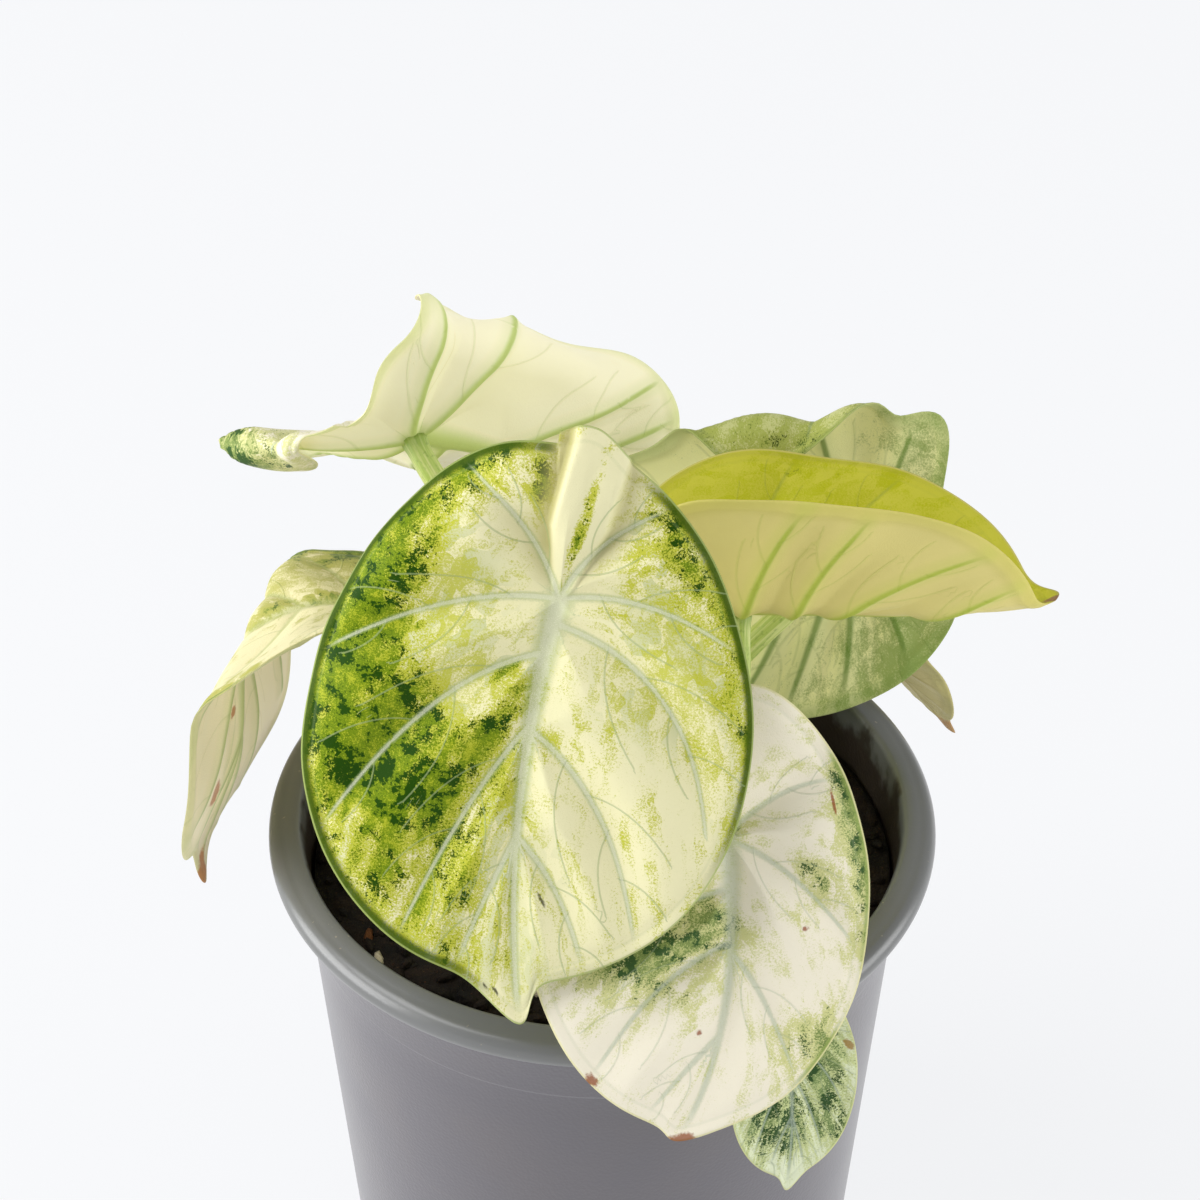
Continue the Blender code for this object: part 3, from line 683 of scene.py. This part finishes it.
def bladeFinish(name, look):
    finish = Finish(f"leaf skin {name}", look)
    flat, fan = finish.read("flat"), finish.read("fan")
    signed, fineSigned, away = finish.parts(finish.read("veins"))
    width, fineAway, margin = finish.parts(finish.read("reach"))
    green, lime, scar = finish.parts(finish.read("tone"))
    side = finish.read("side", 2).step(0.3, 0.7)
    # a signed distance stays sharp between the mesh's points; the plain one tells where it is true
    strong = signed.size().atLeast(away - blade["meshStep"]) / width
    fine = fineSigned.size().atLeast(fineAway - blade["meshStep"]) / blade["fineHalf"]
    # marbling: clouds, streaks along the veins, round patches and small cells that each keep one shade
    clouds = finish.noise(flat, 0.16, 2.0, 0.6) - 0.5
    streak = finish.noise(finish.place(fan, (5, 0.2, 9)), 1.0, 2.0, 0.6) - 0.5
    grain = finish.noise(flat, 2.6, 3.0, 0.75) - 0.5
    speck = finish.noise(finish.shift(flat, (5, 60, 0)), 5.0, 2.0, 0.6) - 0.5
    patch = finish.noise(finish.shift(flat, (30, 9, 0)), 0.26, 3.0, 0.74) - 0.5
    sway = finish.place(finish.noise(flat, 0.3, 0.0, 0.5, output=1), (0.5, 0.5, 0.5))
    bentFan = finish.shift(finish.place(fan, (2.6, 0.2, 9)), sway)
    cell = finish.parts(finish.cells(bentFan, 3.0, output=1))[0] - 0.5
    block = finish.parts(finish.cells(bentFan, 1.5, output=1))[1]
    fleck = grain * 1.5 + speck * 0.7
    mottle = clouds * 0.8 + streak + cell * 0.24 + fleck * look["fleck"]
    level = green * look["greenMuch"] * 1.1 + mottle * (green.step(0.0, 0.3) * 0.5 + 0.5)
    warmth = lime + streak * 0.7 + cell * 0.4 + fleck * (lime.step(0.0, 0.3) * 0.5 + 0.5)
    limeMask = (warmth.step(0.25, 0.75) * 0.85).atLeast(level.step(0.02, 0.2) * 0.95)
    midMask = level.step(0.32, 0.5)
    depth = patch * 2.2 + (grain + speck) * 1.4
    darkLevel = patch * 3.8 + green.step(0.1, 0.45) * 0.26 + fleck * 0.6
    # a green band inside the margin
    band = 1 - (margin + grain * 1.6).step(look["edgeWidth"] * 0.6, look["edgeWidth"] * 1.3)
    bandMuch = (green * 1.8 + lime * 0.5 + 0.14).step(0.1, 0.7) * look["edgeMuch"]
    hem = 1 - (margin - blade["hemPlace"]).size().step(0.1, 0.45)
    # silvery veins in a greyer trough, with painted highlights: small bright glints along them
    paintedGlint = finish.noise(flat, 6.5, 1.0, 0.5).step(0.54, 0.7)
    rough = grain * 2.2 + speck * 1.6
    inward = margin.step(1.0, 6.0)
    veinMask = (1 - (strong + rough * 0.4).step(0.5, 1.1)) * inward
    trough = (1 - (strong + rough * 0.8).step(0.8, 2.2)) * inward
    fineMask = 1 - (fine + grain * 1.2).step(0.6, 1.5)
    skin = finish.cover(
        "pale",
        ((block - 0.35).step(0.0, 0.5) * lime.step(0.2, 0.5) * 0.5, "haze"),
        (limeMask, "lime"),
        (midMask * 0.92, finish.mix(depth.step(-0.2, 0.35) * 0.6, "mid", "dark")),
        ((-0.16 - depth).step(0.0, 0.2) * midMask * 0.7, "lime"),
        (darkLevel.step(0.36, 0.5) * level.step(0.2, 0.34) * 0.95, "dark"),
        (band * bandMuch, "edge"),
        ((1 - margin.step(0.2, 0.45)) * 0.75, "rim"),
        (hem * 0.12, "veinShade"),
        # painted shade at the foot of the pleat's steep sides
        (finish.read("creaseShade", 2) * 0.85, "creaseShade"),
        (trough * 0.6 * look["veinMuch"], "veinShade"),
        (fineMask * look["fineMuch"], "veinShade"),
        # the silvery vein colour, brighter at the painted glints
        (veinMask * (0.4 + paintedGlint * 0.6) * look["veinMuch"], "vein"))
    # the underside shows the same marbling faintly, and its veins are greener
    under = finish.cover(
        "under",
        ((green + mottle * look["underMottle"] + 0.03).step(0.15, 0.75) * 0.8, "underMid"),
        ((1 - margin.step(0.4, 5.0)) * 0.5, "underMid"),
        ((1 - away.step(0.5, 3.0)) * 0.2, "underVein"),
        ((1 - fine.step(0.5, 3.0)) * 0.16, "underVein"),
        ((1 - strong.step(0.6, 2.8)) * margin.step(1.0, 8.0) * 0.7, "underVein"))
    scarMask = (scar + grain * 0.5 + patch * 1.2).step(0.3, 0.75)
    both = finish.mix(scarMask * 0.85, finish.mix(side, under, skin), "scar")
    relief = grain * 0.4 + speck * 0.3 + paintedGlint * veinMask * 0.8 - fineMask * 0.4
    through = finish.mix(side, both, "none")   # painted light: the underside glows as a stand-in for light that comes through the blade from above
    return finish.set({
        "Base Color": both,
        "Emission Color": through, "Emission Strength": look["glow"],
        "Roughness": 0.42 + grain * 0.2 + veinMask * 0.1,
        "Normal": finish.bump(relief, 0.0003, 0.6),
        "Specular IOR Level": 0.07,
    })


bladeFinishes = {name: bladeFinish(name, {**usualLook, **look}) for name, look in palettes.items()}
for name, leaf in leaves.items():
    makeBlade(name, leaf, bladeFinishes[leaf["palette"]])
print("blades made:", len(leaves))


# stalks

stalk = {
    "ring": 11.0, "depth": 9.0,        # where their feet stand round the crown, and how deep, mm
    "soilTop": 93.5, "soilMound": 2.5, "soilReach": 53.5,   # the soil that they stand in
    "bladeGap": 1.1,                   # the model's blade and gap above a stalk's end, mm
    "points": 56, "sides": 24, "flare": 0.15, "flareLength": 0.03,   # the flare where it meets the blade
    "ribs": 7, "ribHeight": 0.035,     # fine lengthwise ribs, as a share of the radius
    "green": (176, 198, 92), "pale": (216, 222, 146), "deep": (120, 152, 60), "foot": (214, 206, 160),
}


def soilHeight(radius):
    return stalk["soilTop"] + stalk["soilMound"] * (1 - (radius / stalk["soilReach"]) ** 2)


def stalkRoute(leaf, count):
    slot, lean = math.radians(leaf["slot"]), math.radians(leaf["lean"])
    outward = Vector((math.cos(slot), math.sin(slot), 0))
    foot = outward * stalk["ring"] + Vector((0, 0, soilHeight(stalk["ring"]) - stalk["depth"]))
    face = Vector(leafAxes(leaf)[2])
    reach, arch = leaf["reach"]
    arrival = face * reach - Vector((0, 0, arch))
    slant = face.cross(arrival.normalized()).length
    modelTop = Vector(leaf["joint"]) - face * (stalk["bladeGap"] + leaf["stalk"][1] * (slant + 0.2))
    upward = outward * math.sin(lean) + Vector((0, 0, math.cos(lean)))
    start = foot + upward * (modelTop - foot).length * 0.5
    end = modelTop - arrival
    top = Vector(leaf["joint"]) - face * (0.85 + leaf["stalk"][1] * slant * 0.5)
    points = []
    for i in range(count):
        t = i / (count - 1)
        lower = foot * (1 - t) ** 3 + start * 3 * t * (1 - t) ** 2
        points.append(lower + end * 3 * t * t * (1 - t) + top * t ** 3)
    return points


def makeStalk(name, leaf, finish):
    route = stalkRoute(leaf, stalk["points"])
    footRadius, topRadius = leaf["stalk"]
    side = Vector((math.sin(leaf["slot"]), math.cos(leaf["slot"]), 0.3))
    length = sum((b - a).length for a, b in zip(route, route[1:]))
    points, trail, along = [], [], []
    for i, centre in enumerate(route):
        ahead = (route[min(i + 1, len(route) - 1)] - route[max(i - 1, 0)]).normalized()
        side = (side - ahead * side.dot(ahead)).normalized()
        other = ahead.cross(side)
        share = i / (len(route) - 1)
        radius = footRadius + (topRadius - footRadius) * share
        flare = 1 + stalk["flare"] * hill(1 - share, stalk["flareLength"])
        for j in range(stalk["sides"]):
            angle = 2 * math.pi * j / stalk["sides"]
            c, s = math.cos(angle), math.sin(angle)
            rib = 1 + stalk["ribHeight"] * (math.cos(angle * stalk["ribs"]) - 1)
            points.append(tuple(centre + (side * c + other * s) * radius * rib * flare))
            trail.append((c * 2, s * 2, share * length + leaf["seed"] * 40))
            along.append(share)
    faces = tubeFaces(len(route), stalk["sides"])
    carried = {"trail": trail, "along": along}
    meshPiece(f"leafStalk_{name}", points, faces, finish, [f"stalk_{name}"], carried)


def stalkFinish():
    finish = Finish("leaf stalk skin", stalk)
    trail = finish.read("trail")
    along = finish.read("along", 2)
    streak = finish.noise(finish.place(trail, (1.6, 1.6, 0.06)), 1.0, 3.0, 0.6)
    fleck = finish.noise(finish.place(trail, (1, 1, 0.5)), 1.4, 2.0, 0.6)
    skin = finish.cover(
        "green",
        (streak.step(0.38, 0.66), "pale"),
        (fleck.step(0.56, 0.74) * 0.5, "deep"),
        ((1 - along.step(0.08, 0.3)) * 0.7, "foot"),
        (along.step(0.93, 1.0) * 0.5, "deep"))
    return finish.set({
        "Base Color": skin, "Roughness": 0.36 + streak * 0.15,
        "Normal": finish.bump(streak + fleck * 0.4, 0.0003, 0.5),
    })


stalkSkin = stalkFinish()
for name, leaf in leaves.items():
    makeStalk(name, leaf, stalkSkin)
print("stalks made:", len(leaves))


# crown, wrapped in the dry bases of older leaves

crown = {
    "radius": 5.6, "rise": 7.0, "depth": 16.0,   # mm, as in the model
    "rings": 40, "sides": 48, "wraps": 5, "ridge": 0.5, "slope": 0.09,
    "brown": (112, 84, 50), "straw": (176, 150, 98), "green": (140, 150, 80),
}


def makeCrown(finish):
    wide, rise, depth = crown["radius"], crown["rise"], crown["depth"]
    profile = [(0.3, rise), (wide * 0.45, rise - 0.6), (wide * 0.8, rise - 2.4), (wide, rise - 5),
               (wide, 4 - depth), (wide * 0.7, -depth)]
    places = np.linspace(0, len(profile) - 1, crown["rings"])
    radii, levels = [np.interp(places, range(len(profile)), values) for values in zip(*profile)]
    points = []
    for radius, level in zip(radii, levels):
        for j in range(crown["sides"]):
            angle = 2 * math.pi * j / crown["sides"]
            wrap = (angle / (2 * math.pi) * crown["wraps"] + level * crown["slope"]) % 1
            grow = radius - crown["ridge"] * wrap * min(1, radius / 3)
            points.append((grow * math.cos(angle), grow * math.sin(angle), soilHeight(0) + level))
    faces = [face[::-1] for face in tubeFaces(crown["rings"], crown["sides"])]
    meshPiece("crownStem", points, faces, finish, ["crown"])


def crownFinish():
    finish = Finish("crown husk", crown)
    spot = finish.node("ShaderNodeTexCoord", output=3)
    fibre = finish.noise(finish.place(spot, (900, 900, 90)), 1.0, 3.0, 0.6)
    clouds = finish.noise(spot, 300.0, 3.0, 0.6)
    husk = finish.cover("brown", (fibre.step(0.35, 0.65), "straw"), (clouds.step(0.55, 0.75) * 0.6, "green"))
    return finish.set({"Base Color": husk, "Roughness": 0.7, "Normal": finish.bump(fibre, 0.0006, 0.7)})


makeCrown(crownFinish())
print("crown made")


# soil

soil = {
    "sides": 220, "rings": 64,
    "edge": 52.2, "floor": 4.1, "foot": 44.9,   # mm
    "lump": 1.3, "crumb": 0.7,     # heights of the lumps and the crumbs on them, mm
    "bits": 520, "bitsReach": 51,  # loose bits of bark, peat and grit, and how far out they lie, mm
    "bitLayers": 3, "bitSides": 6,
    "black": (13, 9, 6), "brown": (36, 24, 15), "rust": (112, 66, 30), "grit": (196, 184, 160),
}


def soilSurface(x, y):
    radius = math.hypot(x, y)
    near = min(1, max(0, (soil["edge"] - radius) / 6))
    rough = noise.noise(Vector((x * 0.12, y * 0.12, 3))) * soil["lump"]
    rough += noise.noise(Vector((x * 0.45, y * 0.45, 9))) * soil["crumb"]
    rough += noise.noise(Vector((x * 1.1, y * 1.1, 5))) * soil["crumb"] * 0.5
    return soilHeight(radius) + rough * (0.35 + 0.65 * near) - 0.3


def makeSoil(finish):
    sides, rings = soil["sides"], soil["rings"]
    points = [(0, 0, soilSurface(0, 0))]
    for ring in range(1, rings + 1):
        level = levelRing(soil["edge"] * (ring / rings) ** 0.8, 0, sides)
        points += [(x, y, soilSurface(x, y)) for x, y, _ in level]
    below = [(soil["edge"] - 0.2, 86), (soil["foot"] + 0.7, 7), (soil["foot"] - 2, soil["floor"])]
    for radius, height in below:
        points += levelRing(radius, height, sides)
    faces = [(0, 1 + i, 1 + (i + 1) % sides) for i in range(sides)]
    faces += [face[::-1] for face in ringFaces(rings + len(below), sides, 1)]
    faces.append(tuple(len(points) - sides + k for k in range(sides))[::-1])
    meshPiece("pottingSoil", points, faces, finish, ["soil"])


def makeBits(finish):
    # crumbs, bark chips and grit: small irregular lumps in one mesh, sunk a little into the soil
    draw = np.random.default_rng(11)
    points, faces, tint = [], [], []
    layers, around, edge = soil["bitLayers"], soil["bitSides"], soil["edge"]
    for _ in range(soil["bits"]):
        radius = soil["bitsReach"] * math.sqrt(draw.uniform(0.03, 1))
        angle = draw.uniform(0, 2 * math.pi)
        x, y = radius * math.cos(angle), radius * math.sin(angle)
        kind = draw.uniform()
        size = draw.uniform(0.5, 1.5) * (1.3 if kind > 0.9 else 1)
        long, flatness, spin = draw.uniform(1, 2.8), draw.uniform(0.3, 0.8), draw.uniform(0, math.pi)
        tilt = draw.uniform(-0.4, 0.4)
        faces += tubeFaces(layers, around, len(points))
        for layer in range(layers):
            lift = (layer - 1) * size * flatness
            wide = size * (1 if layer == 1 else 0.62)
            for k in range(around):
                a = 2 * math.pi * (k + 0.5 * layer) / around
                reach = wide * draw.uniform(0.75, 1.2)
                px, py = reach * long * math.cos(a), reach * math.sin(a)
                points.append((x + px * math.cos(spin) - py * math.sin(spin),
                               y + px * math.sin(spin) + py * math.cos(spin),
                               soilSurface(x, y) + size * flatness * 0.35 + lift + px * tilt))
                tint.append(kind)
    points = [p if math.hypot(p[0], p[1]) < edge else (p[0] * 0.97, p[1] * 0.97, p[2]) for p in points]
    meshPiece("soilBits", points, faces, finish, carried={"tint": tint})


def soilFinish(name, bits):
    finish = Finish(name, soil)
    spot = finish.node("ShaderNodeTexCoord", output=3)
    clods = finish.noise(spot, 260.0, 4.0, 0.65)
    dust = finish.noise(spot, 1600.0, 3.0, 0.7)
    flake = finish.cells(spot, 620.0)
    earth = finish.cover("black", (clods.step(0.35, 0.7), "brown"), (dust.step(0.62, 0.76) * 0.5, "rust"))
    if bits:
        tint = finish.read("tint", 2)
        earth = finish.cover(earth, (tint.step(0.86, 0.88) * 0.7, "rust"), (tint.step(0.955, 0.96), "grit"))
    return finish.set({
        "Base Color": earth, "Roughness": 0.85,
        "Normal": finish.bump(clods + dust * 0.5 + flake * 0.4, 0.0012, 0.9),
        "Specular IOR Level": 0.3,
    })


makeSoil(soilFinish("peat", False))
makeBits(soilFinish("peat bits", True))
print("soil made")


# pot

pot = {
    "rim": 60.0, "height": 106.0, "mouth": 54.5, "neck": 54.9, "bandBottom": 88.0, "bandStep": 0.4,
    "lip": 2.6, "lipHeight": 6.0, "taper": 0.078, "wall": 1.1, "floor": 2.2,
    "foot": 1.6, "footWidth": 4.0, "pad": 8.0, "sides": 192,
    "grey": (95, 91, 95), "cool": (88, 87, 96), "rimPaintedLight": (108, 110, 108),
    "dust": (160, 150, 132), "dirt": (46, 36, 24),
}


def roundCorner(centre, radius, start, end, count):
    angles = np.radians(np.linspace(start, end, count))
    return [(centre[0] + radius * math.cos(a), centre[1] + radius * math.sin(a)) for a in angles]


def potRadius(height):
    return pot["neck"] - pot["bandStep"] - pot["taper"] * (pot["height"] - pot["lipHeight"] - height)


def potOutline():
    # up the outside, over the rim and down the inside
    top, mouth, pad, step = pot["height"], pot["mouth"], pot["pad"], pot["bandBottom"]
    lipMiddle = (pot["rim"] - pot["lip"], top - 0.5 - pot["lip"])
    neck = top - pot["lipHeight"]
    band = pot["neck"] - pot["taper"] * (neck - step)
    foot = potRadius(0)
    inside = pot["foot"] + pot["floor"]
    wall = [(potRadius(z), z) for z in np.linspace(3, step - 0.6, 18)]
    inner = [(potRadius(z) - pot["wall"], z) for z in np.linspace(step, inside + 1.5, 14)]
    return [
        (pad, 0), (pad + 1, pot["foot"]), (foot - pot["footWidth"] - 1, pot["foot"]),
        (foot - pot["footWidth"], 0), (foot - 1.4, 0),
        *roundCorner((foot - 1.4, 1.2), 1.2, -80, -20, 5), *wall,
        (band - pot["bandStep"], step - 0.35), (band - 0.05, step + 0.05), (band + 0.02, step + 0.4),
        (pot["neck"], neck - 0.8), (pot["neck"] + 0.25, neck - 0.2), (pot["neck"] + 0.9, neck + 0.35),
        *roundCorner(lipMiddle, pot["lip"], -60, 90, 16), (pot["rim"] - pot["lip"] - 0.5, top - 0.35),
        (mouth + 0.6, top), (mouth + 0.1, top - 0.1), (mouth - 0.35, top - 0.5), (mouth - 0.7, top - 1.4),
        *inner, (potRadius(inside) - pot["wall"] - 1.5, inside),
    ]


def makePot(finish):
    outline = potOutline()
    points = []
    for radius, height in outline:
        points += levelRing(radius, height, pot["sides"])
    faces = tubeFaces(len(outline), pot["sides"])
    piece = meshPiece("nurseryPot", points, faces, finish, ["pot"])
    edges = piece.modifiers.new("crisp", "EDGE_SPLIT")
    edges.split_angle = math.radians(50)


def potFinish():
    finish = Finish("moulded grey plastic", pot)
    spot = finish.node("ShaderNodeTexCoord", output=3)
    x, y, z = finish.parts(spot)
    radius = (x * x + y * y).root()
    cloud = finish.noise(spot, 45.0, 3.0, 0.5)
    grain = finish.noise(spot, 2600.0, 2.0, 0.6)
    pebble = finish.cells(spot, 1500.0)
    scuff = finish.noise(finish.place(spot, (60, 60, 700)), 1.0, 4.0, 0.6)
    # inside, soil is washed up the wall in streaks
    wallMiddle = (potRadius(0) - pot["wall"] / 2) * mm
    inner = (1 - (radius - z * pot["taper"] - wallMiddle).step(-0.0002, 0.0002)) * z.step(0.006, 0.01)
    washed = finish.noise(finish.place(spot, (110, 110, 70)), 1.0, 4.0, 0.65)
    low = 1 - z.step(0.094, 0.106)
    crumbs = finish.noise(spot, 900.0, 2.0, 0.5).step(0.72, 0.75)
    plastic = finish.cover(
        "grey",
        (cloud.step(0.3, 0.7) * 0.35, "cool"),
        # painted light: above 100 mm the rim takes a lighter, less mauve grey for how it is lit, though the
        # plastic is one colour
        (z.step(0.0995, 0.1005) * 0.8, "rimPaintedLight"),
        (scuff.step(0.6, 0.8) * 0.04, "dust"),
        (inner * (washed + low * 0.3).step(0.5, 0.68) * 0.85, "dirt"),
        (crumbs * z.step(0.1, 0.104) * 0.6, "dust"))
    body = 1 - z.step(0.099, 0.101)
    return finish.set({
        "Base Color": plastic,
        "Roughness": 0.3 + (cloud - 0.5) * 0.1,
        "Coat Weight": 0.35, "Coat Roughness": 0.25,
        "Normal": finish.bump(grain * 0.5 + pebble * body, 0.00012, 0.3),
    })


makePot(potFinish())
print("pot made")


# studio: a pale floor, soft lights and the camera

studio = {
    "floor": (88, 88, 89), "floorLight": (248, 249, 251), "floorGlow": 0.88, "floorSize": 16.0,   # metres
    "sky": (250, 252, 255), "skyStrength": 0.5,
    "lights": {   # watts, place and size in metres
        "keyLight": (11.0, (-1.0, -0.1, 0.3), 0.8), "sideLight": (6.0, (1.0, -0.1, 0.2), 0.7),
        "fillLight": (2.8, (0.35, -1.1, 0.12), 0.8), "topLight": (6.6, (-0.6, -0.05, 1.15), 0.7),
    },
    "target": (0, 0, 0.12),
    "camera": (-0.0004, -0.515, 0.5789), "pitch": 39.48, "lens": 116.5, "sensor": 36.0,
}


def areaLight(name, watts, place, size):
    data = bpy.data.lights.new(name, "AREA")
    data.energy = watts
    data.size = size
    lamp = addObject(name, data)
    lamp.location = place
    aim = Vector(studio["target"]) - Vector(place)
    lamp.rotation_euler = aim.to_track_quat("-Z", "Y").to_euler()


def makeStudio():
    half = studio["floorSize"] / 2
    mesh = bpy.data.meshes.new("studioFloor")
    corners = [(-half, -half, 0), (half, -half, 0), (half, half, 0), (-half, half, 0)]
    mesh.from_pydata(corners, [], [(0, 1, 2, 3)])
    floor = addObject("studioFloor", mesh)
    floor.location.z = -0.2 * mm
    cloth = Finish("pale floor", studio)
    mesh.materials.append(cloth.set({
        "Base Color": "floor", "Roughness": 0.9, "Specular IOR Level": 0.1,
        "Emission Color": "floorLight", "Emission Strength": studio["floorGlow"],
    }))
    world = bpy.data.worlds.new("soft studio")
    world.use_nodes = True
    sky = world.node_tree.nodes["Background"]
    sky.inputs["Color"].default_value = cloth.hue["sky"]
    sky.inputs["Strength"].default_value = studio["skyStrength"]
    scene.world = world
    for name, light in studio["lights"].items():
        areaLight(name, *light)
    lens = bpy.data.cameras.new("camera")
    lens.lens = studio["lens"]
    lens.sensor_width = studio["sensor"]
    camera = addObject("camera", lens)
    camera.location = studio["camera"]
    camera.rotation_euler = (math.radians(90 - studio["pitch"]), 0, 0)
    scene.camera = camera
    scene.view_settings.view_transform = "Standard"


makeStudio()
